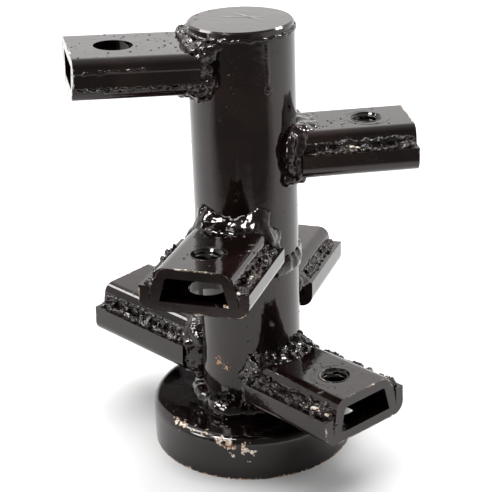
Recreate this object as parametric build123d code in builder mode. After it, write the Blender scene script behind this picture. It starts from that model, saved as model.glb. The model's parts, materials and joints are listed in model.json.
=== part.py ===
from build123d import *
from math import cos, radians, sin
from typing import NamedTuple
import os

# One half of the rotor of a walk-behind rotary tiller: a steel tube with six welded blade sockets round it
# and a pressed cup round its drive end.
# Millimetres, +Z along the tube, origin at the centre of the tube's drive end.

# Tube, in two lengths welded end to end
TUBE_RADIUS = 24.15
TUBE_WALL = 4.0
TUBE_BORE_RADIUS = TUBE_RADIUS - TUBE_WALL
JOINT_HEIGHT = 95.0
TOTAL_HEIGHT = 207.0

# Disc that closes the outer end
CAP_THICKNESS = 4.0
CAP_RADIUS = 23.7
CAP_EDGE_CHAMFER = 0.8
CAP_UNDERSIDE = TOTAL_HEIGHT - CAP_THICKNESS

# Cup round the drive end
CUP_RADIUS = 48.5
CUP_HEIGHT = 21.8
CUP_WALL = 4.0
CUP_EDGE_RADIUS = 3.8
CUP_INNER_EDGE_RADIUS = 1.0

# Bush for the hexagonal output shaft
HEX_ACROSS_FLATS = 32.0
BUSH_LENGTH = 60.0

# Blade sockets: a wide outer channel with a narrow inner channel standing in it, mouth to mouth
PLATE = 4.5
OUTER_HALF_WIDTH = 24.5
OUTER_CORNER_RADIUS = 6.0
INNER_TOP_HALF_WIDTH = 17.0
INNER_CORNER_RADIUS = 5.0
INNER_INSIDE_RADIUS = 1.5
LEG_FOOT_HALF_WIDTH = OUTER_HALF_WIDTH - PLATE
TAPPED_HOLE_RADIUS = 6.0
TAPPED_HOLE_CHAMFER = 1.0
PLAIN_HOLE_RADIUS = 8.7
ROOT_BITE = 0.85

# Weld beads
BEAD_SINK = 1.0
CAP_BEAD_RADIUS = 1.3
JOINT_BEAD_HALF_HEIGHT = 5.2
JOINT_BEAD_PROUD = 2.0
CUP_BEAD_LEG = 7.0
SEAM_BEAD_RADIUS = 3.8
SEAM_BEAD_LIFT = 0.4
SEAM_BEAD_END_GAP = 1.0
ROOT_BEAD_PROUD = 4.5
ROOT_BEAD_OVERLAP = 3.5
ROOT_BEAD_EDGE_RADIUS = 2.8
ROOT_BEAD_ANGLE = 104.0


class Socket(NamedTuple):
    """One blade socket: angles in degrees, and the height of its lowest face where it meets the tube."""

    number: int
    azimuth: float
    height: float
    tilt: float
    section_height: float
    flange_height: float
    reach: float
    bolt_distance: float
    upside_down: bool


SOCKETS = [
    Socket(1, 180.0, 178.7, 2.5, 20.1, 11.6, 77.4, 57.5, True),
    Socket(2, 355.0, 137.8, 0.4, 19.7, 11.6, 76.1, 56.6, False),
    Socket(3, 241.0, 98.0, 2.1, 19.9, 11.2, 78.2, 58.8, False),
    Socket(4, 127.0, 33.2, 3.5, 24.4, 14.4, 84.0, 58.8, False),
    Socket(5, 58.8, 58.2, -0.3, 20.3, 13.0, 76.3, 58.8, False),
    Socket(6, 299.0, 29.6, 2.4, 20.7, 12.9, 78.0, 58.8, False),
]

os.makedirs("parts", exist_ok=True)


def write(piece, name):
    """Label a finished piece and write its STEP file."""
    piece.label = name
    export_step(piece, f"parts/{name}.step")


def trimmed(bead, in_the_way):
    """A bead cut back to whatever it lies against; a crumb that the cut leaves loose is dropped."""
    with BuildPart() as weld:
        add(bead)
        for piece in in_the_way:
            add(piece, mode=Mode.SUBTRACT)
    return weld.part.solids().sort_by(SortBy.VOLUME)[-1]


# Planes of a socket


def socket_plane(socket):
    """Plane on the outer channel's outer face: X runs out from the tube, Z towards the inner channel."""
    azimuth = radians(socket.azimuth)
    tilt = radians(socket.tilt)
    outward = Vector(cos(azimuth), sin(azimuth), 0)
    upward = Vector(0, 0, 1)
    run = outward * cos(tilt) + upward * sin(tilt)
    normal = upward * cos(tilt) - outward * sin(tilt)
    foot = outward * TUBE_RADIUS + upward * socket.height
    if socket.upside_down:
        return Plane(origin=foot + normal * socket.section_height, x_dir=run, z_dir=normal * -1)
    return Plane(origin=foot, x_dir=run, z_dir=normal)


def section_plane(socket, distance):
    """Plane square to the socket's run, at a distance out from the tube: X is across it, Y its height."""
    seat = socket_plane(socket)
    origin = seat.from_local_coords(Vector(distance, 0, 0))
    return Plane(origin=origin, x_dir=seat.y_dir, z_dir=seat.x_dir)


def bolt_plane(socket, height):
    """Plane square to the clamp bolt, at a height above the outer channel's outer face."""
    seat = socket_plane(socket)
    origin = seat.from_local_coords(Vector(socket.bolt_distance - TUBE_RADIUS, 0, height))
    return Plane(origin=origin, x_dir=seat.x_dir, z_dir=seat.z_dir)


def run_length(socket):
    """Length of the channels from the root, which bites a little into the tube, to the mouth."""
    return socket.reach - TUBE_RADIUS + ROOT_BITE


# Outlines of a socket


def inner_outline(socket):
    """Outside of the inner channel: splayed legs that stand against the outer channel's flanges."""
    top = socket.section_height
    with BuildSketch() as outline:
        with BuildLine():
            Polyline(
                (-LEG_FOOT_HALF_WIDTH, PLATE),
                (-INNER_TOP_HALF_WIDTH, top),
                (INNER_TOP_HALF_WIDTH, top),
                (LEG_FOOT_HALF_WIDTH, PLATE),
                close=True,
            )
        make_face()
        fillet(outline.vertices().group_by(Axis.Y)[-1], INNER_CORNER_RADIUS)
    return outline.sketch


def opening_outline(socket):
    """Opening for the blade's shank, between the outer channel's floor and the inner channel's web."""
    ceiling = socket.section_height - PLATE
    with BuildSketch() as outline:
        with BuildLine():
            Polyline(
                (PLATE - LEG_FOOT_HALF_WIDTH, PLATE),
                (PLATE - INNER_TOP_HALF_WIDTH, ceiling),
                (INNER_TOP_HALF_WIDTH - PLATE, ceiling),
                (LEG_FOOT_HALF_WIDTH - PLATE, PLATE),
                close=True,
            )
        make_face()
        fillet(outline.vertices().group_by(Axis.Y)[-1], INNER_INSIDE_RADIUS)
    return outline.sketch


def outer_outline(socket):
    """Outside of the outer channel, with its two rounded floor corners."""
    with BuildSketch() as outline:
        Rectangle(2 * OUTER_HALF_WIDTH, socket.flange_height, align=(Align.CENTER, Align.MIN))
        fillet(outline.vertices().group_by(Axis.Y)[0], OUTER_CORNER_RADIUS)
    return outline.sketch


# Pieces of a socket


def make_outer_channel(socket, tube_core):
    """Wide channel: a floor with the plain hole, and two flanges."""
    with BuildPart() as channel:
        with BuildSketch(section_plane(socket, -ROOT_BITE)):
            add(outer_outline(socket))
            with Locations((0, PLATE)):
                Rectangle(
                    2 * LEG_FOOT_HALF_WIDTH,
                    socket.flange_height,
                    align=(Align.CENTER, Align.MIN),
                    mode=Mode.SUBTRACT,
                )
        extrude(amount=run_length(socket))
        with BuildSketch(bolt_plane(socket, 0)):
            Circle(PLAIN_HOLE_RADIUS)
        extrude(amount=PLATE, mode=Mode.SUBTRACT)
        add(tube_core, mode=Mode.SUBTRACT)
    return channel.part


def make_inner_channel(socket, tube_core):
    """Narrow channel: a web with the tapped hole, and two splayed legs that stand on the wide one."""
    with BuildPart() as channel:
        with BuildSketch(section_plane(socket, -ROOT_BITE)):
            add(inner_outline(socket))
            add(opening_outline(socket), mode=Mode.SUBTRACT)
        extrude(amount=run_length(socket))
        with Locations(bolt_plane(socket, socket.section_height)):
            CounterSinkHole(TAPPED_HOLE_RADIUS, TAPPED_HOLE_RADIUS + TAPPED_HOLE_CHAMFER, depth=PLATE)
        add(tube_core, mode=Mode.SUBTRACT)
    return channel.part


def make_seam_welds(socket, channels):
    """Two beads along the steps between the outer channel's flanges and the inner channel's legs."""
    start = ROOT_BEAD_PROUD
    length = socket.reach - TUBE_RADIUS - SEAM_BEAD_END_GAP - start
    across = OUTER_HALF_WIDTH - PLATE / 2 - BEAD_SINK
    above = socket.flange_height + SEAM_BEAD_LIFT
    with BuildPart() as beads:
        with BuildSketch(section_plane(socket, start)):
            with Locations((across, above), (-across, above)):
                Circle(SEAM_BEAD_RADIUS)
        extrude(amount=length)
        for channel in channels:
            add(channel, mode=Mode.SUBTRACT)
    return beads.part


def make_socket_envelope(socket):
    """Everything inside a socket's outline, opening included, taken from the bead round its root."""
    with BuildPart() as envelope:
        with BuildSketch(section_plane(socket, -ROOT_BITE)):
            add(outer_outline(socket))
            add(inner_outline(socket))
            add(opening_outline(socket))
        extrude(amount=run_length(socket))
    return envelope.part


def make_root_weld(socket, in_the_way):
    """Bead that wraps the tube round a socket's root, above it, below it and behind its two sides."""
    height = socket.section_height + 2 * ROOT_BEAD_OVERLAP
    with BuildPart() as bead:
        with BuildSketch(Plane.XZ) as profile:
            with Locations((TUBE_RADIUS - BEAD_SINK, socket.height - ROOT_BEAD_OVERLAP)):
                Rectangle(ROOT_BEAD_PROUD + BEAD_SINK, height, align=(Align.MIN, Align.MIN))
            fillet(profile.vertices().group_by(Axis.X)[-1], ROOT_BEAD_EDGE_RADIUS)
        revolve(axis=Axis.Z, revolution_arc=ROOT_BEAD_ANGLE)
    turned = bead.part.rotate(Axis.Z, socket.azimuth - ROOT_BEAD_ANGLE / 2)
    return trimmed(turned, in_the_way)


# Pieces of the tube and its ends


def make_tube_core():
    """The tube's outside as a solid bar, taken from whatever is welded to it."""
    with BuildPart() as core:
        Cylinder(TUBE_RADIUS, TOTAL_HEIGHT, align=(Align.CENTER, Align.CENTER, Align.MIN))
    return core.part


def make_tube(bottom, top):
    """One length of tube."""
    with BuildPart() as tube:
        with BuildSketch(Plane.XY.offset(bottom)):
            Circle(TUBE_RADIUS)
            Circle(TUBE_BORE_RADIUS, mode=Mode.SUBTRACT)
        extrude(amount=top - bottom)
    return tube.part


def make_end_cap():
    """Disc on the outer end, with a broken edge."""
    with BuildPart() as cap:
        with BuildSketch(Plane.XY.offset(CAP_UNDERSIDE)):
            Circle(CAP_RADIUS)
        extrude(amount=CAP_THICKNESS)
        chamfer(cap.edges().group_by(Axis.Z)[-1], CAP_EDGE_CHAMFER)
    return cap.part


def make_end_cap_weld(in_the_way):
    """Thin bead round the corner between the tube's end and the disc."""
    with BuildPart() as bead:
        with BuildSketch(Plane.XZ):
            with Locations((CAP_RADIUS, CAP_UNDERSIDE)):
                Circle(CAP_BEAD_RADIUS)
        revolve(axis=Axis.Z)
    return trimmed(bead.part, in_the_way)


def make_tube_joint_weld(in_the_way):
    """Low ring of weld where the two tubes meet, cut back where a socket and its bead cross it."""
    with BuildPart() as bead:
        with BuildSketch(Plane.XZ):
            with Locations((TUBE_RADIUS, JOINT_HEIGHT)):
                Ellipse(JOINT_BEAD_PROUD, JOINT_BEAD_HALF_HEIGHT)
        revolve(axis=Axis.Z)
    return trimmed(bead.part, in_the_way)


def make_drive_end_cup():
    """Pressed cup, open downwards, whose top has a round hole for the tube."""
    inside_radius = CUP_RADIUS - CUP_WALL
    inside_height = CUP_HEIGHT - CUP_WALL
    with BuildPart() as cup:
        with BuildSketch(Plane.XZ) as profile:
            with BuildLine():
                Polyline(
                    (TUBE_RADIUS, inside_height),
                    (TUBE_RADIUS, CUP_HEIGHT),
                    (CUP_RADIUS, CUP_HEIGHT),
                    (CUP_RADIUS, 0),
                    (inside_radius, 0),
                    (inside_radius, inside_height),
                    close=True,
                )
            make_face()
            top_corners = profile.vertices().group_by(Axis.Y)[-1]
            fillet(top_corners.sort_by(Axis.X)[-1], CUP_EDGE_RADIUS)
            inside_corners = profile.vertices().filter_by_position(Axis.Y, inside_height, inside_height)
            fillet(inside_corners.sort_by(Axis.X)[-1], CUP_INNER_EDGE_RADIUS)
        revolve(axis=Axis.Z)
    return cup.part


def make_cup_weld(in_the_way):
    """Ring of weld between the tube and the cup's top, cut back where a socket's own bead crosses it."""
    with BuildPart() as bead:
        with BuildSketch(Plane.XZ):
            with BuildLine():
                Polyline(
                    (TUBE_RADIUS - BEAD_SINK, CUP_HEIGHT),
                    (TUBE_RADIUS + CUP_BEAD_LEG, CUP_HEIGHT),
                    (TUBE_RADIUS - BEAD_SINK, CUP_HEIGHT + CUP_BEAD_LEG),
                    close=True,
                )
            make_face()
        revolve(axis=Axis.Z)
    return trimmed(bead.part, in_the_way)


def make_drive_bush():
    """Bush inside the drive end of the tube, with a hexagonal bore."""
    with BuildPart() as bush:
        with BuildSketch():
            Circle(TUBE_BORE_RADIUS)
            RegularPolygon(HEX_ACROSS_FLATS / 2, 6, major_radius=False, mode=Mode.SUBTRACT)
        extrude(amount=BUSH_LENGTH)
    return bush.part


tube_core = make_tube_core()
taken_up = [tube_core] + [make_socket_envelope(socket) for socket in SOCKETS]
for socket in SOCKETS:
    outer_channel = make_outer_channel(socket, tube_core)
    inner_channel = make_inner_channel(socket, tube_core)
    root_weld = make_root_weld(socket, taken_up)
    taken_up.append(root_weld)
    write(outer_channel, f"socket_{socket.number}_outer_channel")
    write(inner_channel, f"socket_{socket.number}_inner_channel")
    write(make_seam_welds(socket, [outer_channel, inner_channel]), f"socket_{socket.number}_seam_welds")
    write(root_weld, f"socket_{socket.number}_root_weld")

upper_tube = make_tube(JOINT_HEIGHT, CAP_UNDERSIDE)
end_cap = make_end_cap()
write(upper_tube, "upper_tube")
write(make_tube(0, JOINT_HEIGHT), "lower_tube")
write(end_cap, "end_cap")
write(make_end_cap_weld([end_cap, upper_tube, *taken_up[1:]]), "end_cap_weld")
write(make_tube_joint_weld(taken_up), "tube_joint_weld")
write(make_drive_end_cup(), "drive_end_cup")
write(make_cup_weld(taken_up), "cup_weld")
write(make_drive_bush(), "drive_bush")
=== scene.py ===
import json
import math
import random
from typing import NamedTuple

import bmesh
import bpy
from mathutils import Matrix, Vector, noise


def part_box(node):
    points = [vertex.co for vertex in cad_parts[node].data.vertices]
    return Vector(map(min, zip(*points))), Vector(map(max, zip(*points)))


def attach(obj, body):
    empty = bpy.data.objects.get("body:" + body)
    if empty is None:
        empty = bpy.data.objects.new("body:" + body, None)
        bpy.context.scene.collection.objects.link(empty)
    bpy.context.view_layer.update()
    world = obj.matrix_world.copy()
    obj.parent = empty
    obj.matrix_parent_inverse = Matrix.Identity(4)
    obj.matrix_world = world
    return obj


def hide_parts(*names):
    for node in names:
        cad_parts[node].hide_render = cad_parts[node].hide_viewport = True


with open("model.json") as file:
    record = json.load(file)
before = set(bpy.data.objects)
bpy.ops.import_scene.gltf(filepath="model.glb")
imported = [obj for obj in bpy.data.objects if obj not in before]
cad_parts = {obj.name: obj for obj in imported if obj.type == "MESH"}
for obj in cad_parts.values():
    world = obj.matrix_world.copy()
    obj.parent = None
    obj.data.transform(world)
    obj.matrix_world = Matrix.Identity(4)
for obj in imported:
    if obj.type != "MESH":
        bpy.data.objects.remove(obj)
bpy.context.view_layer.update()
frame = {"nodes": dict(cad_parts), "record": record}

MM = 0.001
ROOT = "root"
SOCKET_COUNT = 6

# --------------------------------------------------------------------------------------------------
# What the frame says

mounts = {mount["name"]: mount for mount in frame["record"]["mounts"]}
TUBE_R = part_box("upper_tube")[1][0]
JOINT_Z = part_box("upper_tube")[0][2]
TUBE_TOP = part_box("upper_tube")[1][2]
TOP_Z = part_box("end_cap")[1][2]
CAP_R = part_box("end_cap")[1][0]
CUP_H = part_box("drive_end_cup")[1][2]


class Socket:
    """One blade socket's own axes: x out from the tube, y across, z from the outer channel's floor."""

    def __init__(self, number):
        mouth = mounts[f"blade_mouth_{number}"]
        self.number = number
        self.run = Vector(mouth["axis"])
        self.up = Vector(mounts[f"clamp_bolt_{number}"]["axis"])
        self.across = self.up.cross(self.run)
        middle = Vector(mouth["pos_m"])
        outer = self.spans(f"socket_{number}_outer_channel", middle)
        inner = self.spans(f"socket_{number}_inner_channel", middle)
        self.height = inner[2][1] - outer[2][0]
        self.flange = outer[2][1] - outer[2][0]
        self.half_width = outer[1][1]
        self.foot = inner[1][1]
        reach = math.hypot(middle.x, middle.y)
        self.length = (reach - TUBE_R) / math.hypot(self.run.x, self.run.y)
        self.origin = middle - self.run * self.length - self.up * (self.height / 2)
        bolt = Vector(mounts[f"clamp_bolt_{number}"]["pos_m"]) - self.origin
        self.bolt_x = bolt.dot(self.run)

    def spans(self, node, middle):
        """Lowest and highest value of a node along this socket's axes, from the middle of its mouth."""
        axes = (self.run, self.across, self.up)
        points = [vertex.co - middle for vertex in frame["nodes"][node].data.vertices]
        return [(min(p.dot(axis) for p in points), max(p.dot(axis) for p in points)) for axis in axes]

    def at(self, x, y, z):
        return self.origin + self.run * x + self.across * y + self.up * z


sockets = [Socket(number) for number in range(1, SOCKET_COUNT + 1)]

# --------------------------------------------------------------------------------------------------
# Camera

# Matched to the photograph through the outlines of the tube and the cup. Metres, and the lens in millimetres.
CAMERA_BEARING = math.radians(258.5)
CAMERA_DISTANCE = 0.59317
CAMERA_HEIGHT = 0.35812
CAMERA_PITCH = math.radians(-23.67)
CAMERA_YAW = math.radians(-0.07)
CAMERA_ROLL = math.radians(-1.96)
CAMERA_LENS = 100.6
SENSOR = 36.0


def make_camera():
    """Camera that looks at the tube from the front and a little above, very slightly rolled."""
    towards = Vector((math.cos(CAMERA_BEARING), math.sin(CAMERA_BEARING), 0))
    place = towards * CAMERA_DISTANCE + Vector((0, 0, CAMERA_HEIGHT))
    level = -towards
    level.rotate(Matrix.Rotation(-CAMERA_YAW, 3, "Z"))
    ahead = level * math.cos(CAMERA_PITCH) + Vector((0, 0, math.sin(CAMERA_PITCH)))
    right = ahead.cross(Vector((0, 0, 1))).normalized()
    up = right.cross(ahead)
    rolled_right = right * math.cos(CAMERA_ROLL) + up * math.sin(CAMERA_ROLL)
    rolled_up = up * math.cos(CAMERA_ROLL) - right * math.sin(CAMERA_ROLL)
    data = bpy.data.cameras.new("camera")
    data.lens = CAMERA_LENS
    data.sensor_width = SENSOR
    data.clip_start = 0.01
    camera = bpy.data.objects.new("camera", data)
    bpy.context.scene.collection.objects.link(camera)
    basis = Matrix((rolled_right, rolled_up, -ahead)).transposed()
    camera.matrix_world = Matrix.Translation(place) @ basis.to_4x4()
    bpy.context.scene.camera = camera


make_camera()

# --------------------------------------------------------------------------------------------------
# Materials


class Nodes:
    """Short way to add and join shader nodes."""

    def __init__(self, name):
        self.material = bpy.data.materials.new(name)
        self.material.use_nodes = True
        self.tree = self.material.node_tree
        self.shader = self.tree.nodes["Principled BSDF"]
        self.place = self.add("ShaderNodeTexCoord").outputs["Object"]

    def add(self, kind, **values):
        node = self.tree.nodes.new(kind)
        for key, value in values.items():
            setattr(node, key, value)
        return node

    def link(self, source, target):
        self.tree.links.new(source, target)

    def noise(self, scale, detail=3.0, roughness=0.55, distortion=0.0):
        node = self.add("ShaderNodeTexNoise")
        node.inputs["Scale"].default_value = scale
        node.inputs["Detail"].default_value = detail
        node.inputs["Roughness"].default_value = roughness
        node.inputs["Distortion"].default_value = distortion
        self.link(self.place, node.inputs["Vector"])
        return node.outputs["Fac"]

    def cells(self, scale):
        node = self.add("ShaderNodeTexVoronoi")
        node.inputs["Scale"].default_value = scale
        self.link(self.place, node.inputs["Vector"])
        return node.outputs["Distance"]

    def ranged(self, value, low, high, to_low=0.0, to_high=1.0):
        node = self.add("ShaderNodeMapRange")
        node.inputs["From Min"].default_value = low
        node.inputs["From Max"].default_value = high
        node.inputs["To Min"].default_value = to_low
        node.inputs["To Max"].default_value = to_high
        self.link(value, node.inputs["Value"])
        return node.outputs["Result"]

    def maths(self, operation, first, second):
        node = self.add("ShaderNodeMath", operation=operation)
        for value, socket in ((first, node.inputs[0]), (second, node.inputs[1])):
            if isinstance(value, (int, float)):
                socket.default_value = value
            else:
                self.link(value, socket)
        return node.outputs[0]

    def mix(self, factor, first, second):
        node = self.add("ShaderNodeMix", data_type="RGBA")
        self.link(factor, node.inputs["Factor"])
        for value, socket in ((first, node.inputs["A"]), (second, node.inputs["B"])):
            if isinstance(value, tuple):
                socket.default_value = (*value, 1.0)
            else:
                self.link(value, socket)
        return node.outputs["Result"]

    def near(self, spots):
        """1 at the middle of any of these spots, each a place and a radius, and 0 outside them all."""
        total = None
        for place, radius in spots:
            node = self.add("ShaderNodeVectorMath", operation="DISTANCE")
            node.inputs[1].default_value = place
            self.link(self.place, node.inputs[0])
            inside = self.ranged(node.outputs["Value"], radius, 0.0)
            total = inside if total is None else self.maths("MAXIMUM", total, inside)
        return total

    def bump(self, height, strength, distance, under=None):
        node = self.add("ShaderNodeBump")
        node.inputs["Strength"].default_value = strength
        node.inputs["Distance"].default_value = distance
        self.link(height, node.inputs["Height"])
        if under is not None:
            self.link(under, node.inputs["Normal"])
        return node.outputs["Normal"]


# Linear colours of the enamel and of what shows where it is thin, chipped or dirty; the cream also makes
# painted highlights on edges
BLACK = (0.0046, 0.0021, 0.0019)
BROWN_BLACK = (0.0150, 0.0070, 0.0056)
CREAM = (0.95, 0.90, 0.80)
RUST = (0.46, 0.18, 0.05)
DULL_RUST = (0.060, 0.026, 0.013)


class Enamel(Nodes):
    """Gloss black enamel: soft brown clouding, faint orange peel, and dust that dried into the paint."""

    def __init__(self, name, roughness=0.07, peel=0.10, dust=0.5, brown=BROWN_BLACK):
        super().__init__(name)
        cloud = self.noise(38.0, 4.0, 0.6)
        self.colour = self.mix(self.ranged(cloud, 0.44, 0.70), BLACK, brown)
        self.rough = self.ranged(self.noise(90.0, 3.0), 0.35, 0.75, roughness * 0.7, roughness * 1.7)
        grains = self.ranged(self.cells(620.0), 0.0, 0.16, 1.0, 0.0)
        here = self.ranged(self.noise(55.0, 2.0), 0.55, 0.62)
        normal = self.bump(self.noise(330.0, 2.0, 0.5), peel, 0.0004)
        normal = self.bump(self.noise(75.0, 2.0, 0.5), peel * 0.8, 0.0012, normal)
        self.normal = self.bump(self.maths("MULTIPLY", grains, here), dust, 0.0003, normal)

    def chip(self, where, tone, roughness=0.5, depth=-0.0003):
        """Show another tone where the mask says that the paint is gone."""
        self.colour = self.mix(where, self.colour, tone)
        self.rough = self.maths("MAXIMUM", self.rough, self.maths("MULTIPLY", where, roughness))
        self.normal = self.bump(where, 0.6, depth, self.normal)

    def chip_near(self, spots, scale=520.0, threshold=0.80):
        """Ragged chips inside spots, some cream and some rusty."""
        reach = self.maths("MULTIPLY", self.near(spots), 0.42)
        ragged = self.maths("ADD", reach, self.noise(scale, 4.0, 0.65))
        where = self.ranged(ragged, threshold, threshold + 0.03)
        self.chip(where, self.mix(self.ranged(self.noise(900.0, 2.0), 0.45, 0.6), CREAM, RUST))

    def ragged_edge(self, value):
        return self.ranged(value, 0.80, 0.83)

    def crease(self, axes, across, shift, spots):
        """Shallow line pressed into a flat top, at a shift along a direction, inside spots."""
        lean = math.radians(across)
        along_x = self.maths("MULTIPLY", axes.outputs["X"], math.cos(lean))
        along_y = self.maths("MULTIPLY", axes.outputs["Y"], math.sin(lean))
        from_line = self.maths("SUBTRACT", self.maths("ADD", along_x, along_y), shift)
        line = self.ranged(self.maths("ABSOLUTE", from_line, 0.0), 0.0011, 0.0)
        line = self.maths("MULTIPLY", line, self.near(spots))
        self.normal = self.bump(line, 0.35, 0.0006, self.normal)

    def finish(self):
        self.link(self.colour, self.shader.inputs["Base Color"])
        self.link(self.rough, self.shader.inputs["Roughness"])
        self.link(self.normal, self.shader.inputs["Normal"])
        self.shader.inputs["IOR"].default_value = 1.52
        self.shader.inputs["Specular Tint"].default_value = (1.0, 0.945, 0.93, 1.0)
        return self.material


def make_tube_enamel(name):
    """Enamel with a patch of rust flecks low on the front of the tube."""
    n = Enamel(name)
    n.chip_near([((-0.0188, -0.0150, 0.047), 0.0080), ((-0.0160, -0.0182, 0.0455), 0.0055)], 900.0, 0.84)
    n.chip_near([((0.020, -0.014, 0.1145), 0.003), ((-0.0097, -0.0221, 0.1887), 0.003)], 900.0, 0.90)
    return n.finish()


def make_cap_enamel(name):
    """Enamel with faint crossing creases and rusty dirt along one side of the edge."""
    n = Enamel(name, roughness=0.10)
    axes = n.add("ShaderNodeSeparateXYZ")
    n.link(n.place, axes.inputs[0])
    n.crease(axes, 28.0, 0.005, [((0.004, 0.004, TOP_Z), 0.013)])
    n.crease(axes, 71.0, 0.004, [((0.001, 0.003, TOP_Z), 0.011)])
    dirt = [((-0.0176, 0.0137, TOP_Z), 0.006), ((-0.0185, 0.0060, TOP_Z), 0.006)]
    dirt += [((-0.0215, 0.0010, TOP_Z), 0.005), ((-0.0102, 0.0190, TOP_Z), 0.005)]
    reach = n.maths("MULTIPLY", n.near(dirt), 0.36)
    n.chip(n.ranged(n.maths("ADD", reach, n.noise(1000.0, 4.0, 0.65)), 0.78, 0.82), DULL_RUST, 0.5, 0.0003)
    return n.finish()


def make_cup_enamel(name):
    """Enamel with chips on the lip and the wall, and a worn bottom edge."""
    n = Enamel(name, roughness=0.09, brown=BLACK)
    lip = [((-0.0412, -0.0200, 0.0208), 0.0050), ((-0.0385, -0.0245, 0.0206), 0.0055)]
    lip += [((-0.0345, -0.0300, 0.0206), 0.0040), ((-0.0300, -0.0345, 0.0206), 0.0038)]
    wall = [((-0.0240, -0.0412, 0.0200), 0.0055), ((-0.0205, -0.0435, 0.0190), 0.0065)]
    wall += [((-0.0135, -0.0465, 0.0165), 0.0065), ((-0.0100, -0.0475, 0.0150), 0.0045)]
    wall += [((-0.0197, -0.0443, 0.0132), 0.0035), ((-0.0119, -0.0470, 0.0098), 0.0030)]
    n.chip_near(lip + wall, 380.0, 0.78)
    height = n.add("ShaderNodeSeparateXYZ")
    n.link(n.place, height.inputs[0])
    worn = n.ranged(height.outputs["Z"], 0.0020, 0.0002)
    ragged = n.maths("ADD", n.maths("MULTIPLY", worn, 0.32), n.noise(700.0, 4.0, 0.65))
    n.chip(n.ragged_edge(ragged), n.mix(n.ranged(n.noise(1100.0, 2.0), 0.42, 0.55), CREAM, RUST))
    return n.finish()


def make_crust_enamel(name):
    """Enamel over spattered weld: gritty, with brown caught in the hollows."""
    n = Enamel(name, roughness=0.13, peel=0.2)
    grit = n.noise(1500.0, 3.0, 0.6)
    n.colour = n.mix(n.ranged(n.noise(300.0, 4.0, 0.6), 0.60, 0.80), n.colour, DULL_RUST)
    n.rough = n.maths("ADD", n.rough, n.ranged(grit, 0.50, 0.75, 0.0, 0.12))
    n.normal = n.bump(grit, 0.7, 0.0003, n.normal)
    return n.finish()


def make_steel(name):
    """Bare machined steel, oiled and slightly browned."""
    n = Nodes(name)
    brown = n.ranged(n.noise(120.0, 4.0, 0.6), 0.45, 0.7)
    n.link(n.mix(brown, (0.34, 0.32, 0.30), (0.16, 0.10, 0.07)), n.shader.inputs["Base Color"])
    n.link(n.ranged(n.noise(400.0, 3.0), 0.3, 0.7, 0.28, 0.5), n.shader.inputs["Roughness"])
    n.link(n.bump(n.noise(700.0, 2.0), 0.2, 0.0002), n.shader.inputs["Normal"])
    n.shader.inputs["Metallic"].default_value = 1.0
    return n.material


enamel = Enamel("enamel").finish()
tube_enamel = make_tube_enamel("tube_enamel")
cup_enamel = make_cup_enamel("cup_enamel")
cap_enamel = make_cap_enamel("cap_enamel")
weld_enamel = Enamel("enamel_over_weld", roughness=0.10, peel=0.16, dust=0.3).finish()
hole_enamel = Enamel("enamel_in_holes", roughness=0.24, peel=0.2).finish()
crust_enamel = make_crust_enamel("enamel_over_crust")
steel = make_steel("bare_steel")


def paint(node, material):
    """Give a CAD node a material in place of its plain one."""
    data = frame["nodes"][node].data
    data.materials.clear()
    data.materials.append(material)


# --------------------------------------------------------------------------------------------------
# Mesh helpers


def object_from(name, mesh, material):
    """A finished piece that rides on the part."""
    piece = bpy.data.objects.new(name, mesh)
    bpy.context.scene.collection.objects.link(piece)
    mesh.materials.clear()
    mesh.materials.append(material)
    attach(piece, ROOT)
    return piece


def shade_smooth(mesh):
    mesh.polygons.foreach_set("use_smooth", [True] * len(mesh.polygons))


def blobs_to_mesh(name, blobs, voxel, settling):
    """Run drops of weld metal together: each blob is a place, three radii, and the axes that they follow."""
    cloud = bmesh.new()
    for place, radii, axes in blobs:
        shape = Matrix(axes).transposed() @ Matrix.Diagonal(Vector(radii))
        bmesh.ops.create_icosphere(
            cloud, subdivisions=2, radius=1.0, matrix=Matrix.Translation(place) @ shape.to_4x4()
        )
    rough = bpy.data.meshes.new(name + "_drops")
    cloud.to_mesh(rough)
    cloud.free()
    holder = bpy.data.objects.new(name + "_drops", rough)
    bpy.context.scene.collection.objects.link(holder)
    remesh = holder.modifiers.new("run_together", "REMESH")
    remesh.mode = "VOXEL"
    remesh.voxel_size = voxel
    settle = holder.modifiers.new("settle", "SMOOTH")
    settle.factor = 0.5
    settle.iterations = settling
    graph = bpy.context.evaluated_depsgraph_get()
    mesh = bpy.data.meshes.new_from_object(holder.evaluated_get(graph))
    bpy.data.objects.remove(holder)
    bpy.data.meshes.remove(rough)
    mesh.name = name
    return mesh


class Skin(NamedTuple):
    """How a bead's skin is pushed in and out: depth in metres and bumps per metre, broad and fine."""

    settling: int
    lump_depth: float
    lumps: float
    grain_depth: float
    grains: float


RUNNY = Skin(13, 0.9 * MM, 170.0, 0.25 * MM, 600.0)
MOLTEN = Skin(22, 0.6 * MM, 120.0, 0.10 * MM, 420.0)
LUMPY = Skin(3, 1.3 * MM, 290.0, 0.60 * MM, 850.0)
CRUSTY = Skin(1, 0.9 * MM, 430.0, 1.00 * MM, 1150.0)
BROKEN = Skin(1, 2.2 * MM, 360.0, 1.60 * MM, 900.0)
SMOOTH_RAMP = Skin(18, 0.5 * MM, 130.0, 0.06 * MM, 420.0)
EVEN = Skin(9, 0.5 * MM, 260.0, 0.15 * MM, 800.0)
CRISP = Skin(3, 0.35 * MM, 300.0, 0.25 * MM, 900.0)
SMEARED = Skin(1, 0.25 * MM, 500.0, 0.30 * MM, 1300.0)


def roughen(mesh, skin):
    """Push a bead's skin in and out along its normals."""
    moved = []
    for vertex in mesh.vertices:
        place = vertex.co
        broad = noise.noise(place * skin.lumps) * skin.lump_depth
        fine = (abs(noise.noise(place * skin.grains)) - 0.25) * skin.grain_depth
        moved.append(place + vertex.normal * (broad + fine))
    for vertex, place in zip(mesh.vertices, moved):
        vertex.co = place
    shade_smooth(mesh)


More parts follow.
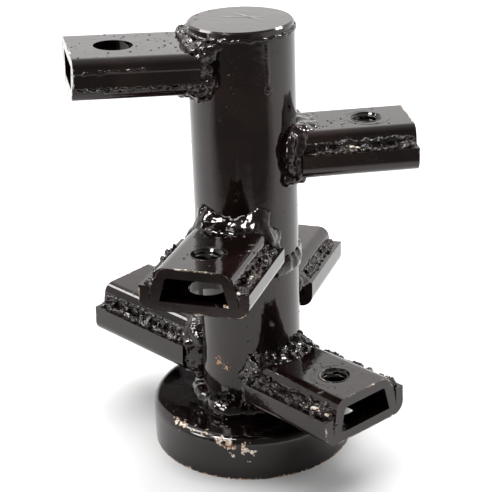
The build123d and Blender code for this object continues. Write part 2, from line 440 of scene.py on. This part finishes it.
WORLD_AXES = (Vector((1, 0, 0)), Vector((0, 1, 0)), Vector((0, 0, 1)))
VOXEL = 0.55 * MM
FINE_VOXEL = 0.35 * MM


def make_bead(name, blobs, replaced, skin, material=weld_enamel):
    """Bead of real weld in place of the plain one that the CAD has."""
    mesh = blobs_to_mesh(name, blobs, VOXEL, skin.settling)
    roughen(mesh, skin)
    piece = object_from(name, mesh, material)
    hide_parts(replaced)
    return piece


# --------------------------------------------------------------------------------------------------
# Weld beads of the sockets

# The channels' plate and bends, as the CAD has them
PLATE = 4.5 * MM
WEB_FLAT = 12.0 * MM
WEB_CORNER = 5.0 * MM
WEB_HALF = WEB_FLAT + WEB_CORNER
FLOOR_CORNER = 6.0 * MM
# Crown of each root weld in millimetres above the web: its peaks left and right, and the dip between them
CROWN_PEAKS = {1: (3.2, 3.6), 2: (3.0, 2.4), 3: (7.4, 8.6), 4: (2.5, 3.0), 5: (2.2, 1.6), 6: (4.8, 5.0)}
CROWN_MIDDLE = {1: 2.2, 2: 1.6, 3: 4.4, 4: 1.4, 5: 1.2, 6: 2.8}
# Side of a socket that has no weld behind it
BARE_SIDES = {5: -1}
# Side and stretch of the seams, in millimetres from the tube, where the weld stands out in fins
FINS = {3: (-1, 13.0, 30.0), 6: (1, 4.0, 19.0)}
# How broadly each seam is laid, and how many millimetres it stands above the flange
SEAM_BREADTH = {1: 0.85, 2: 0.95, 3: 1.15, 4: 1.1, 5: 0.85, 6: 1.3}
SEAM_LIFT = {3: 0.2, 4: 0.4, 6: 0.7}
# Share of the steps that leave a lump on the leg, and the size in millimetres of the row under the web
PLAIN_CRUST = 0.35
SEAM_CRUST = {3: 0.5, 4: 0.5, 6: 0.7}
PLAIN_ROW = 1.15
UPPER_ROW = {2: 1.7, 6: 1.7, 3: 0.9, 5: 0.8}
# Sockets with weld spattered along the rounded corner of the web, and on which side
CORNER_SPATTER = {4: (1,), 6: (-1,), 3: (1,)}
ROOT_SKINS = {1: LUMPY, 3: SMOOTH_RAMP, 6: LUMPY}
SEAM_SKINS = {6: BROKEN}
# Large drops in part axes: place and radii in millimetres, by socket
LARGE_DROPS = {
    1: (
        (-15.5, -19.2, 200.4, 3.6, 3.0, 2.6), (-18.0, -18.4, 196.5, 3.4, 3.4, 3.4),
        (-18.6, -20.0, 190.5, 2.8, 2.8, 3.6), (-18.2, -20.6, 185.6, 2.6, 2.6, 2.8),
        (-21.5, -16.0, 201.2, 2.8, 3.4, 2.2),
    ),
    2: (
        (16.6, -20.8, 155.0, 3.2, 3.4, 4.0), (16.2, -21.6, 149.5, 3.2, 3.8, 5.0),
        (16.4, -21.2, 143.6, 3.2, 3.6, 4.6),
    ),
    3: (
        (-19.5, -14.5, 121.4, 3.6, 3.6, 2.4), (-11.5, -22.4, 120.4, 3.6, 3.6, 2.2),
        (2.5, -24.0, 122.8, 3.2, 3.0, 2.8),
    ),
    6: ((2.2, -24.0, 52.4, 3.4, 3.0, 2.6), (9.0, -23.2, 52.6, 3.2, 3.2, 2.4)),
}


def tube_drop(y):
    """How far the tube's surface falls back from its front line at a distance across."""
    return math.sqrt(max(TUBE_R * TUBE_R - y * y, 0.0)) - TUBE_R


def leg_half_width(socket, z):
    """Outside half width of the inner channel's splayed legs at a height."""
    share = (z - PLATE) / (socket.height - PLATE)
    return socket.foot + (WEB_HALF - socket.foot) * share


def outline(socket):
    """Half of the socket's outline, from mid web down a leg: across, up, and the way outwards."""
    points = [(WEB_FLAT * k / 6, socket.height, 0.0, 1.0) for k in range(7)]
    for k in range(1, 4):
        turn = math.radians(25 * k)
        y = WEB_FLAT + WEB_CORNER * math.sin(turn)
        z = socket.height - WEB_CORNER * (1 - math.cos(turn))
        points.append((y, z, math.sin(turn), math.cos(turn)))
    z = socket.height - WEB_CORNER
    while z > socket.flange:
        points.append((leg_half_width(socket, z), z, 1.0, 0.1))
        z -= 1.9 * MM
    return points


def root_blobs(socket, rng):
    """Weld round a socket's root: a crown over the web, runs down both legs, and fill behind and under it."""
    axes = (socket.run, socket.across, socket.up)
    blobs = []

    def drop(x, y, z, size):
        shift = [rng.uniform(-0.4, 0.4) * MM for _ in range(3)]
        radii = [size * rng.uniform(0.88, 1.18) for _ in range(3)]
        blobs.append((socket.at(x + shift[0], y + shift[1], z + shift[2]), radii, axes))

    def fill(y, z, reach, size):
        x = tube_drop(y) + 0.8 * MM
        while x < reach:
            drop(x, y, z, size)
            x += 1.9 * MM

    for side in (-1, 1):
        peak = CROWN_PEAKS[socket.number][0 if side < 0 else 1] * MM
        middle = CROWN_MIDDLE[socket.number] * MM
        for y, z, out_y, out_z in outline(socket):
            fill(side * (y + 0.5 * MM * out_y), z + 0.2 * MM * out_z, rng.uniform(0.8, 2.4) * MM, 2.4 * MM)
            if y < WEB_HALF - 1.0 * MM:
                crest = middle + (peak - middle) * min(y / WEB_FLAT, 1.0) ** 3
                for step in range(6):
                    slope = max(1 - step / 5.2, 0.0) ** 1.3
                    for layer in (1.0, 0.5):
                        level = z - 1.0 * MM + crest * slope * layer
                        drop(tube_drop(y) + (0.6 + 1.5 * step) * MM, side * y, level, 1.9 * MM)
        lowest = socket.flange - 1.0 * MM if BARE_SIDES.get(socket.number) == side else 1.0 * MM
        z = socket.flange + 0.5 * MM
        while z > lowest:
            for x, y in ((-1.8, 20.3), (-4.0, 19.4), (-6.6, 18.4), (-7.6, 17.0)):
                drop(x * MM, side * y * MM, z, 2.5 * MM)
            z -= 2.0 * MM
        if BARE_SIDES.get(socket.number) != side:
            for k in range(10):
                y = (socket.half_width - FLOOR_CORNER) * k / 9
                fill(side * y, -0.7 * MM, 1.6 * MM, 2.3 * MM)
                drop(tube_drop(y) + 1.0 * MM, side * y, -2.0 * MM, 2.1 * MM)
    for x, y, z, *radii in LARGE_DROPS.get(socket.number, ()):
        blobs.append((Vector((x, y, z)) * MM, [radius * MM for radius in radii], WORLD_AXES))
    return blobs


def seam_blobs(socket, rng):
    """Weld along each step between the channels: lumps on the flange, a row under the web, the gap's fill."""
    axes = (socket.run, socket.across, socket.up)
    blobs = []

    def drop(x, y, z, radii):
        blobs.append((socket.at(x, y, z), radii, axes))

    for side in (-1, 1):
        fin_side, fin_from, fin_to = FINS.get(socket.number, (0, 0.0, 0.0))
        x = 2.0 * MM
        weave = rng.uniform(0, 6.28)
        while x < socket.length - 3.6 * MM:
            x += rng.uniform(0.8, 2.4) * MM
            swell = 1.0 + 0.12 * math.sin(x * 300.0 + weave) + rng.uniform(-0.32, 0.30)
            broad = swell * SEAM_BREADTH[socket.number]
            z = socket.flange + (rng.uniform(-0.5, 0.5) + SEAM_LIFT.get(socket.number, 0.0)) * MM
            y = side * (leg_half_width(socket, z) + 1.9 * MM + rng.uniform(-0.6, 0.9) * MM)
            drop(x, y, z, [1.8 * MM * swell, 2.1 * MM * broad, 1.4 * MM * broad])
            z = socket.height - WEB_CORNER + rng.uniform(-0.8, 0.5) * MM
            size = UPPER_ROW.get(socket.number, PLAIN_ROW) * MM * swell
            drop(x, side * (leg_half_width(socket, z) - 0.1 * MM), z, [size * 1.5, size * 0.8, size * 0.8])
            if rng.random() < SEAM_CRUST.get(socket.number, PLAIN_CRUST):
                z = rng.uniform(socket.flange + 1.6 * MM, socket.height - WEB_CORNER - 1.0 * MM)
                size = rng.uniform(0.7, 1.2) * MM
                drop(x, side * leg_half_width(socket, z), z, [size, size, size * 1.2])
            if side in CORNER_SPATTER.get(socket.number, ()) and x < 0.8 * socket.length:
                size = rng.uniform(0.4, 0.9) * MM
                turn = math.radians(rng.uniform(12.0, 65.0))
                y = WEB_FLAT + WEB_CORNER * math.sin(turn)
                z = socket.height - WEB_CORNER * (1 - math.cos(turn))
                drop(x, side * y, z, [size * 1.7, size, size * 0.7])
            if side == fin_side and fin_from * MM < x < fin_to * MM and rng.random() < 0.75:
                y = side * (socket.half_width - rng.uniform(0.5, 2.5) * MM)
                drop(x, y, socket.flange + 0.9 * MM, [1.1 * MM, 1.0 * MM, rng.uniform(1.4, 2.5) * MM])
        for share in (1.0, 0.8, 0.6, 0.4):
            z = PLATE + (socket.flange - PLATE) * share
            y = (leg_half_width(socket, z) + socket.foot) / 2
            for back in (4.4, 3.0, 1.8):
                drop(socket.length - back * MM, side * y, z, [1.7 * MM, 1.5 * MM, 1.6 * MM])
    return blobs


for socket in sockets:
    rng = random.Random(100 + socket.number)
    replaced = f"socket_{socket.number}_root_weld"
    skin = ROOT_SKINS.get(socket.number, RUNNY)
    make_bead(f"root_weld_{socket.number}", root_blobs(socket, rng), replaced, skin)
    replaced = f"socket_{socket.number}_seam_welds"
    skin = SEAM_SKINS.get(socket.number, CRUSTY)
    make_bead(f"seam_welds_{socket.number}", seam_blobs(socket, rng), replaced, skin, crust_enamel)


# --------------------------------------------------------------------------------------------------
# Rings of weld round the tube


# Radii of one drop in each ring: outward, along the ring and up
JOINT_DROP = (2.2 * MM, 3.0 * MM, 4.8 * MM)
CAP_DROP = (1.2 * MM, 2.2 * MM, 1.3 * MM)
CUP_DROP = (4.4 * MM, 3.8 * MM, 4.4 * MM)
# Drops that raise the cup's weld at its left front: bearing, then reach, height and size in millimetres
CUP_CREST = ((214, 2.6, 3.4, 3.6), (224, 4.4, 2.6, 5.2), (234, 4.8, 2.2, 5.0), (243, 3.6, 2.0, 4.2))


def ring_blobs(radius, height, spacing, radii, jitter, rng):
    """Drops round the tube's axis. Radii are outward, along the ring and up."""
    count = int(2 * math.pi * radius / spacing)
    blobs = []
    for step in range(count):
        turn = 2 * math.pi * step / count
        outward = Vector((math.cos(turn), math.sin(turn), 0))
        along = Vector((-outward.y, outward.x, 0))
        place = outward * (radius + rng.uniform(-0.4, 0.4) * jitter)
        place.z = height + rng.uniform(-1, 1) * jitter
        scale = rng.uniform(0.88, 1.15)
        blobs.append((place, [size * scale for size in radii], (outward, along, WORLD_AXES[2])))
    return blobs


rng = random.Random(7)
joint_drops = ring_blobs(TUBE_R - 0.4 * MM, JOINT_Z, 2.4 * MM, JOINT_DROP, 0.4 * MM, rng)
cap_drops = ring_blobs(CAP_R - 0.1 * MM, TUBE_TOP + 0.2 * MM, 2.0 * MM, CAP_DROP, 0.4 * MM, rng)
cup_drops = ring_blobs(TUBE_R + 1.0 * MM, CUP_H + 1.0 * MM, 2.8 * MM, CUP_DROP, 0.8 * MM, rng)
make_bead("tube_joint_bead", joint_drops, "tube_joint_weld", EVEN)
make_bead("end_cap_bead", cap_drops, "end_cap_weld", CRISP)
for bearing, reach, height, size in CUP_CREST:
    turn = math.radians(bearing)
    outward = Vector((math.cos(turn), math.sin(turn), 0))
    along = Vector((-outward.y, outward.x, 0))
    place = outward * (TUBE_R + reach * MM) + Vector((0, 0, CUP_H + height * MM))
    cup_drops.append((place, [size * 0.9 * MM, size * 1.2 * MM, size * MM], (outward, along, WORLD_AXES[2])))
make_bead("cup_bead", cup_drops, "cup_weld", MOLTEN)

# --------------------------------------------------------------------------------------------------
# Bolt holes: threads, the rim that the paint leaves round them, and the cutter's swirls on the web

THREAD_PITCH = 2.0 * MM
THREAD_TURNS = 1.45
HOLE_R = 6.0 * MM
CHAMFER = 1.0 * MM
BLADE_HOLE_R = 8.7 * MM
# Radii in millimetres of the cutter's swirls round a hole, and the one that the other sockets have
PLAIN_SWIRLS = (9.5,)
SWIRLS = {2: (9.0, 10.4, 11.2), 3: (8.8,), 6: (9.6, 10.8)}


def add_loops(mesh, loops, closed):
    """Skin a row of equal loops; the row itself may close on its first loop, or be capped at its ends."""
    rows = [[mesh.verts.new(point) for point in loop] for loop in loops]
    size = len(rows[0])
    pairs = list(zip(rows, rows[1:]))
    if closed:
        pairs.append((rows[-1], rows[0]))
    for here, there in pairs:
        for k in range(size):
            mesh.faces.new((here[k], here[(k + 1) % size], there[(k + 1) % size], there[k]))
    if not closed:
        mesh.faces.new(rows[0][::-1])
        mesh.faces.new(rows[-1])


def add_ring(mesh, socket, radius, thickness, first=0.0, last=360.0, wander=0.0):
    """Round wire laid on the web about the bolt hole, whole or as an arc that thins out towards its ends."""
    whole = last - first >= 360.0
    steps = int((last - first) / 5)
    loops = []
    for step in range(steps + (0 if whole else 1)):
        turn = math.radians(first + (last - first) * step / steps)
        here = radius * (1 + wander * noise.noise(Vector((math.cos(turn), math.sin(turn), radius * 900))))
        thin = 1.0 if whole else 0.25 + 0.75 * math.sin(math.pi * step / steps)
        loop = []
        for k in range(6):
            tip = math.radians(60 * k)
            reach = here + thickness * thin * math.cos(tip)
            height = socket.height + thickness * thin * math.sin(tip) * 0.8
            loop.append(socket.at(socket.bolt_x + reach * math.cos(turn), reach * math.sin(turn), height))
        loops.append(loop)
    add_loops(mesh, loops, whole)


def add_thread(mesh, socket):
    """The thread's ridge, wound down the wall of the hole."""
    steps = int(40 * THREAD_TURNS)
    bottom = socket.height - PLATE + 0.7 * MM
    loops = []
    for step in range(steps + 1):
        turn = 2 * math.pi * step / 40
        z = bottom + THREAD_PITCH * step / 40
        grow = min(1.0, step / 8, (steps - step) / 8)
        loop = []
        for reach, rise in ((0.06, -0.85), (-0.55 * grow, -0.12), (-0.55 * grow, 0.12), (0.06, 0.85)):
            r = HOLE_R + reach * MM
            up = z + rise * MM * max(grow, 0.15)
            loop.append(socket.at(socket.bolt_x + r * math.cos(turn), r * math.sin(turn), up))
        loops.append(loop)
    add_loops(mesh, loops, False)


def finish_mesh(name, build):
    """Turn what was built into a smooth mesh whose faces all look outwards."""
    bmesh.ops.recalc_face_normals(build, faces=build.faces)
    mesh = bpy.data.meshes.new(name)
    build.to_mesh(mesh)
    build.free()
    shade_smooth(mesh)
    return mesh


for socket in sockets:
    build = bmesh.new()
    add_thread(build, socket)
    add_ring(build, socket, HOLE_R + CHAMFER + 0.15 * MM, 0.34 * MM, wander=0.02)
    for turn, radius in enumerate(SWIRLS.get(socket.number, PLAIN_SWIRLS)):
        start = 70.0 + 95.0 * turn
        add_ring(build, socket, radius * MM, 0.16 * MM, start, start + 190.0 - 35.0 * turn, wander=0.03)
    name = f"bolt_hole_detail_{socket.number}"
    object_from(name, finish_mesh(name, build), hole_enamel)

# --------------------------------------------------------------------------------------------------
# Worn lines along the edges of the mouths: rubbed paint, and painted highlights where the rounded edges catch
# the light


EDGE_INSET = 0.28 * MM


def outer_edge(socket):
    """Outline of the outer channel at the mouth, from one flange's top to the other's."""
    half = socket.half_width - EDGE_INSET
    radius = FLOOR_CORNER - EDGE_INSET
    points = [(half, socket.flange - 1.2 * MM - step * 1.2 * MM) for step in range(4)]
    for turn in (0.0, 0.4, 0.8, 1.2, 1.5708):
        points.append((half - radius * (1 - math.cos(turn)), FLOOR_CORNER - radius * math.sin(turn)))
    points += [(half - radius - step * 2.0 * MM, EDGE_INSET) for step in range(1, 10)]
    points = [point for point in points if point[0] > 0.5 * MM]
    return points + [(-y, z) for y, z in reversed(points)]


def inner_edge(socket):
    """Outline of the inner channel at the mouth, above the flanges."""
    points = []
    z = socket.flange + 2.2 * MM
    while z < socket.height - WEB_CORNER:
        points.append((leg_half_width(socket, z) - EDGE_INSET, z))
        z += 1.2 * MM
    radius = WEB_CORNER - EDGE_INSET
    for turn in (0.1, 0.5, 0.9, 1.25, 1.5708):
        z = socket.height - WEB_CORNER + radius * math.sin(turn)
        points.append((WEB_FLAT + radius * math.cos(turn), z))
    points += [(WEB_FLAT - step * 1.5 * MM, socket.height - EDGE_INSET) for step in range(1, 8)]
    return points + [(-y, z) for y, z in reversed(points)]


def add_wear_and_highlight_line(mesh, socket, points, patchy, seed):
    """Thin wire along an edge that swells where the paint is worn off and the edge shines, and sinks away
    where it is not: rubbed paint with painted highlight.
    """
    loops = []
    for step, (y, z) in enumerate(points):
        here = Vector((y * 160.0, z * 160.0, seed))
        size = min(max(0.07, 0.35 + patchy * noise.noise(here)), 0.50) * MM
        loop = []
        before = points[max(step - 1, 0)]
        after = points[min(step + 1, len(points) - 1)]
        run = math.hypot(after[0] - before[0], after[1] - before[1])
        out_y, out_z = (after[1] - before[1]) / run, -(after[0] - before[0]) / run
        for k in range(6):
            tip = math.radians(60 * k + 30)
            reach = size * math.cos(tip)
            x = socket.length - 0.32 * MM + size * math.sin(tip)
            loop.append(socket.at(x, y + out_y * reach, z + out_z * reach))
        loops.append(loop)
    add_loops(mesh, loops, False)


def make_wear_and_highlight_edge(name):
    """Paint rubbed thin, brown primer with a few cream spots, which also serves as painted highlight along
    the rounded edges.
    """
    n = Nodes(name)
    tone = n.mix(n.ranged(n.noise(260.0, 3.0), 0.40, 0.58), (0.030, 0.016, 0.012), (0.34, 0.24, 0.16))
    tone = n.mix(n.ranged(n.noise(520.0, 3.0), 0.58, 0.64), tone, CREAM)
    n.link(tone, n.shader.inputs["Base Color"])
    n.link(n.ranged(n.noise(800.0, 2.0), 0.3, 0.7, 0.25, 0.5), n.shader.inputs["Roughness"])
    n.link(n.bump(n.noise(1500.0, 2.0), 0.5, 0.0002), n.shader.inputs["Normal"])
    return n.material


# Rubbed paint and painted highlight along the edges of each mouth
build = bmesh.new()
for socket in sockets:
    add_wear_and_highlight_line(build, socket, outer_edge(socket), 0.42, socket.number)
    add_wear_and_highlight_line(build, socket, inner_edge(socket), 0.36, socket.number + 20)
# Painted highlight: a pale arc on the chamfer of socket 6's tapped hole, where it catches the light
add_ring(build, sockets[5], HOLE_R + 0.75 * MM, 0.42 * MM, 175.0, 300.0)
object_from("wear_and_highlight_edges", finish_mesh("wear_and_highlight_edges", build), make_wear_and_highlight_edge("wear_and_highlight_edge"))

# --------------------------------------------------------------------------------------------------
# Spatter, flecks with painted highlights among them, and a run in the paint


def add_speck(mesh, place, normal, size, rng, flat=0.55):
    """Small lump half sunk in the surface under it."""
    turn = normal.to_track_quat("Z", "Y").to_matrix() @ Matrix.Rotation(rng.uniform(0, 6.28), 3, "Z")
    shape = turn @ Matrix.Diagonal(Vector((size * rng.uniform(0.7, 1.3), size, size * flat)))
    made = bmesh.ops.create_icosphere(
        mesh, subdivisions=2, radius=1.0, matrix=Matrix.Translation(place) @ shape.to_4x4()
    )
    for vertex in made["verts"]:
        away = vertex.co - place
        vertex.co = place + away * (1 + 0.35 * noise.noise(vertex.co * 2400.0))


def on_tube(bearing, height):
    """Place on the tube's surface, and the way out from it."""
    turn = math.radians(bearing)
    normal = Vector((math.cos(turn), math.sin(turn), 0))
    return normal * TUBE_R + Vector((0, 0, height)), normal


def scatter_on_tube(mesh, rng, count):
    for _ in range(count):
        place, normal = on_tube(rng.uniform(0, 360), rng.uniform(0.026, 0.2))
        add_speck(mesh, place, normal, rng.choice((0.22, 0.26, 0.32, 0.45)) * MM, rng)


def scatter_on_socket(mesh, socket, rng, count):
    """Spatter thrown out along the broad face from the weld at the root, thinning towards the mouth."""
    upside_down = socket.up.z < 0
    half = socket.half_width - FLOOR_CORNER if upside_down else WEB_FLAT
    level = 0.0 if upside_down else socket.height
    normal = -socket.up if upside_down else socket.up
    hole = BLADE_HOLE_R if upside_down else HOLE_R + CHAMFER
    for _ in range(count):
        x = (2.0 + (socket.length / MM - 4.0) * rng.random() ** 2.2) * MM
        y = rng.uniform(-half, half)
        if math.hypot(x - socket.bolt_x, y) > hole + 0.8 * MM:
            add_speck(mesh, socket.at(x, y, level), normal, rng.choice((0.2, 0.25, 0.3, 0.42, 0.6)) * MM, rng)


def scatter_round_mouth(mesh, socket, rng, count):
    """Beads of paint along the mouth's lower and side edges."""
    for _ in range(count):
        side = rng.choice((-1, 1))
        y, z = rng.choice((
            (side * (socket.half_width - 0.4 * MM), rng.uniform(FLOOR_CORNER, socket.flange)),
            (side * rng.uniform(0, socket.half_width - FLOOR_CORNER), 0.4 * MM),
            (side * rng.uniform(0, WEB_FLAT), socket.height - 0.4 * MM),
            (side * (socket.foot - PLATE), rng.uniform(PLATE, socket.height - PLATE)),
        ))
        place = socket.at(socket.length - 0.35 * MM, y, z)
        add_speck(mesh, place, socket.run, rng.uniform(0.25, 0.55) * MM, rng)


rng = random.Random(31)
build = bmesh.new()
scatter_on_tube(build, rng, 90)
for socket in sockets:
    scatter_on_socket(build, socket, rng, 90 if socket.number == 1 else 55)
    scatter_round_mouth(build, socket, rng, 26)
object_from("spatter", finish_mesh("spatter", build), weld_enamel)


def make_fleck_paint(name):
    """Cream primer with rust at its edge: bare spots where the black has come off, and a few painted
    highlights on socket 3's mouth.
    """
    n = Nodes(name)
    tone = n.mix(n.ranged(n.noise(700.0, 3.0), 0.50, 0.62), CREAM, (0.42, 0.20, 0.07))
    n.link(tone, n.shader.inputs["Base Color"])
    n.link(n.ranged(n.noise(900.0, 2.0), 0.3, 0.7, 0.3, 0.6), n.shader.inputs["Roughness"])
    n.link(n.bump(n.noise(1600.0, 2.0), 0.5, 0.0002), n.shader.inputs["Normal"])
    return n.material


# Flecks on the seams: socket, distance from the tube, side, size and sinking, in millimetres
SEAM_FLECKS = (
    (6, 34.0, -1, 1.3, 0.2), (6, 42.5, -1, 1.7, 0.2), (6, 45.0, -1, 1.1, 0.0), (6, 50.5, -1, 1.0, 0.1),
    (2, 22.0, -1, 1.2, 0.0), (2, 24.5, -1, 0.7, 0.2), (4, 40.0, 1, 0.7, 0.2), (3, 38.0, 1, 0.6, 0.2),
)
# Flecks on the ends of the plates, bare spots and painted highlights (the close pair low on socket 3):
# socket, place across and up, and size, in millimetres
MOUTH_FLECKS_AND_GLINTS = ((3, -3.2, 19.4, 0.75), (3, 13.8, 5.2, 0.8), (3, 15.0, 4.9, 0.6), (3, 19.8, 11.4, 0.9))


def across_seam(socket, x, side, sink):
    """Place on the lumps of a seam, as far out along the socket as x."""
    z = socket.flange + (1.5 - sink) * MM
    return socket.at(x * MM, side * (leg_half_width(socket, z) + 2.4 * MM), z)


rng = random.Random(5)
build = bmesh.new()
for number, x, side, size, sink in SEAM_FLECKS:
    socket = sockets[number - 1]
    for _ in range(3):
        place = across_seam(socket, x + rng.uniform(-1.2, 1.2), side, sink + rng.uniform(-0.3, 0.3))
        add_speck(build, place, socket.up, size * rng.uniform(0.5, 1.0) * MM, rng, 0.8)
# Flecks on the mouths; the close pair low on socket 3 is a painted highlight
for number, y, z, size in MOUTH_FLECKS_AND_GLINTS:
    socket = sockets[number - 1]
    add_speck(build, socket.at(socket.length - 0.4 * MM, y * MM, z * MM), socket.run, size * MM, rng)
object_from("flecks", finish_mesh("flecks", build), make_fleck_paint("fleck_paint"))

# Rows of weld smeared along socket 1's front: middle, height and width in millimetres, and number of drops
SMEARED_ROWS = ((-59.0, 195.2, 27.0, 46), (-56.0, 187.8, 32.0, 34))
SMEARED_FACE = -24.1
rng = random.Random(12)
smear_drops = []
for x, z, wide, count in SMEARED_ROWS:
    for _ in range(count):
        place = Vector((x + rng.uniform(-0.5, 0.5) * wide, SMEARED_FACE, z + rng.gauss(0, 0.45))) * MM
        radii = [rng.uniform(0.7, 2.0) * MM, rng.uniform(0.45, 0.75) * MM, rng.uniform(0.4, 0.7) * MM]
        smear_drops.append((place, radii, WORLD_AXES))
smear_mesh = blobs_to_mesh("smeared_weld", smear_drops, FINE_VOXEL, SMEARED.settling)
roughen(smear_mesh, SMEARED)
object_from("smeared_weld", smear_mesh, weld_enamel)

# A run in the paint, from the end cap down the tube, that ends in a drop
RUN_BEARING = 286.0
RUN_STEPS = 14
RUN_SETTLING = 3
run_drops = []
for step in range(RUN_STEPS):
    place, outward = on_tube(RUN_BEARING + 0.4 * math.sin(step), TUBE_TOP - (2.0 + 1.6 * step) * MM)
    along = Vector((-outward.y, outward.x, 0))
    last = step == RUN_STEPS - 1
    thick = 0.95 * MM if last else 0.42 * MM
    wide = 2.2 * MM if last else 1.5 * MM
    run_drops.append((place, [thick, wide, 2.4 * MM], (outward, along, WORLD_AXES[2])))
run_mesh = blobs_to_mesh("paint_run", run_drops, FINE_VOXEL, RUN_SETTLING)
shade_smooth(run_mesh)
object_from("paint_run", run_mesh, tube_enamel)

# --------------------------------------------------------------------------------------------------
# CAD nodes


def soften(node, width):
    """Round the paint over a CAD node's edges. Flat facets are joined first, so the rounding runs true."""
    piece = frame["nodes"][node]
    flats = piece.modifiers.new("join_flats", "DECIMATE")
    flats.decimate_type = "DISSOLVE"
    flats.angle_limit = math.radians(0.6)
    bevel = piece.modifiers.new("paint_over_edges", "BEVEL")
    bevel.width = width
    bevel.segments = 3
    bevel.limit_method = "ANGLE"
    bevel.angle_limit = math.radians(50)
    bevel.use_clamp_overlap = False
    bevel.harden_normals = True


paint("upper_tube", tube_enamel)
paint("lower_tube", tube_enamel)
paint("end_cap", cap_enamel)
soften("end_cap", 1.5 * MM)
paint("drive_end_cup", cup_enamel)
paint("drive_bush", steel)
for socket in sockets:
    for channel in ("outer_channel", "inner_channel"):
        node = f"socket_{socket.number}_{channel}"
        paint(node, enamel)
        soften(node, 0.8 * MM)

# --------------------------------------------------------------------------------------------------
# Floor and light

FLOOR_SIZE = 8.0
TOWARDS_CAMERA = Vector((math.cos(CAMERA_BEARING), math.sin(CAMERA_BEARING), 0))
CAMERA_RIGHT = Vector((-TOWARDS_CAMERA.y, TOWARDS_CAMERA.x, 0))


def studio(right, near, up):
    """A place measured from the foot of the object: to the camera's right, towards the camera, and up."""
    return CAMERA_RIGHT * right + TOWARDS_CAMERA * near + Vector((0, 0, up))


def make_sheet(name, size, height, material):
    """Flat square of the stage, level with the floor or a little above it."""
    mesh = bpy.data.meshes.new(name)
    half = size / 2
    corners = [(-half, -half, height), (half, -half, height), (half, half, height), (-half, half, height)]
    mesh.from_pydata(corners, [], [(0, 1, 2, 3)])
    mesh.materials.append(material)
    sheet = bpy.data.objects.new(name, mesh)
    bpy.context.scene.collection.objects.link(sheet)
    return sheet


def make_floor():
    n = Nodes("floor")
    n.shader.inputs["Base Color"].default_value = (0.80, 0.80, 0.80, 1.0)
    n.shader.inputs["Roughness"].default_value = 0.9
    n.shader.inputs["Specular IOR Level"].default_value = 0.1
    make_sheet("floor", FLOOR_SIZE, 0.0, n.material)


def make_dark_card():
    """Soft-edged dark card in front of the object, which only its reflections show: painted shade on the
    floor before it.
    """
    n = Nodes("dark_card")
    n.shader.inputs["Base Color"].default_value = (0.12, 0.115, 0.11, 1.0)
    n.shader.inputs["Roughness"].default_value = 0.9
    n.shader.inputs["Specular IOR Level"].default_value = 0.1
    clear = n.add("ShaderNodeBsdfTransparent")
    blend = n.add("ShaderNodeMixShader")
    dark = [(studio(-0.04, 0.74, 0), 0.62), (studio(-0.34, 0.46, 0), 0.40), (studio(0.27, 0.48, 0), 0.38)]
    n.link(n.ranged(n.near(dark), 0.06, 0.48), blend.inputs["Fac"])
    n.link(clear.outputs[0], blend.inputs[1])
    n.link(n.shader.outputs[0], blend.inputs[2])
    n.link(blend.outputs[0], n.tree.nodes["Material Output"].inputs["Surface"])
    card = make_sheet("dark_card", 3.2, 0.0005, n.material)
    card.visible_camera = False
    card.visible_diffuse = False
    card.visible_shadow = False


def make_softbox(name, place, size, power, mirrored=True, spread=True):
    """Round softbox aimed at the object. It can be left out of reflections, or out of the even light."""
    data = bpy.data.lights.new(name, "AREA")
    data.shape = "DISK"
    data.size = size
    data.energy = power
    light = bpy.data.objects.new(name, data)
    bpy.context.scene.collection.objects.link(light)
    light.location = place
    light.rotation_euler = (Vector((0, 0, 0.1)) - place).to_track_quat("-Z", "Y").to_euler()
    light.visible_glossy = mirrored
    light.visible_diffuse = spread


BRIGHT_BEHIND = 1.45
DIM_IN_FRONT = 0.22
DIM_OVERHEAD = 0.5


def make_world():
    """White surround that is brightest behind the object, dimmer overhead, and dark behind the camera."""
    world = bpy.data.worlds.new("studio")
    bpy.context.scene.world = world
    world.use_nodes = True
    tree = world.node_tree
    way = tree.nodes.new("ShaderNodeTexCoord").outputs["Generated"]

    def facing(direction, low, high, to_low, to_high):
        along = tree.nodes.new("ShaderNodeVectorMath")
        along.operation = "DOT_PRODUCT"
        along.inputs[1].default_value = direction
        tree.links.new(way, along.inputs[0])
        shade = tree.nodes.new("ShaderNodeMapRange")
        shade.interpolation_type = "SMOOTHSTEP"
        for name, value in (("From Min", low), ("From Max", high), ("To Min", to_low), ("To Max", to_high)):
            shade.inputs[name].default_value = value
        tree.links.new(along.outputs["Value"], shade.inputs["Value"])
        return shade.outputs["Result"]

    both = tree.nodes.new("ShaderNodeMath")
    both.operation = "MULTIPLY"
    tree.links.new(facing(TOWARDS_CAMERA, -0.5, 0.75, BRIGHT_BEHIND, DIM_IN_FRONT), both.inputs[0])
    tree.links.new(facing((0, 0, 1), 0.35, 0.95, 1.0, DIM_OVERHEAD), both.inputs[1])
    tree.links.new(both.outputs[0], tree.nodes["Background"].inputs["Strength"])
    tree.nodes["Background"].inputs["Color"].default_value = (1.0, 0.995, 0.99, 1.0)


make_floor()
# Painted shade in front of the object, seen only in its reflections
make_dark_card()
make_world()
make_softbox("fill", studio(0, -0.35, 1.9), 2.4, 66.0, mirrored=False)
make_softbox("key", studio(-0.60, -0.28, 1.00), 0.46, 7.0, spread=False)
make_softbox("side", studio(-0.95, 0.42, 0.62), 0.34, 5.0, spread=False)
make_softbox("front", studio(-0.42, 0.33, 1.00), 0.34, 14.0, spread=False)
make_softbox("rim", studio(0.75, -0.35, 0.95), 0.26, 6.0, spread=False)
bpy.context.scene.view_settings.view_transform = "Standard"
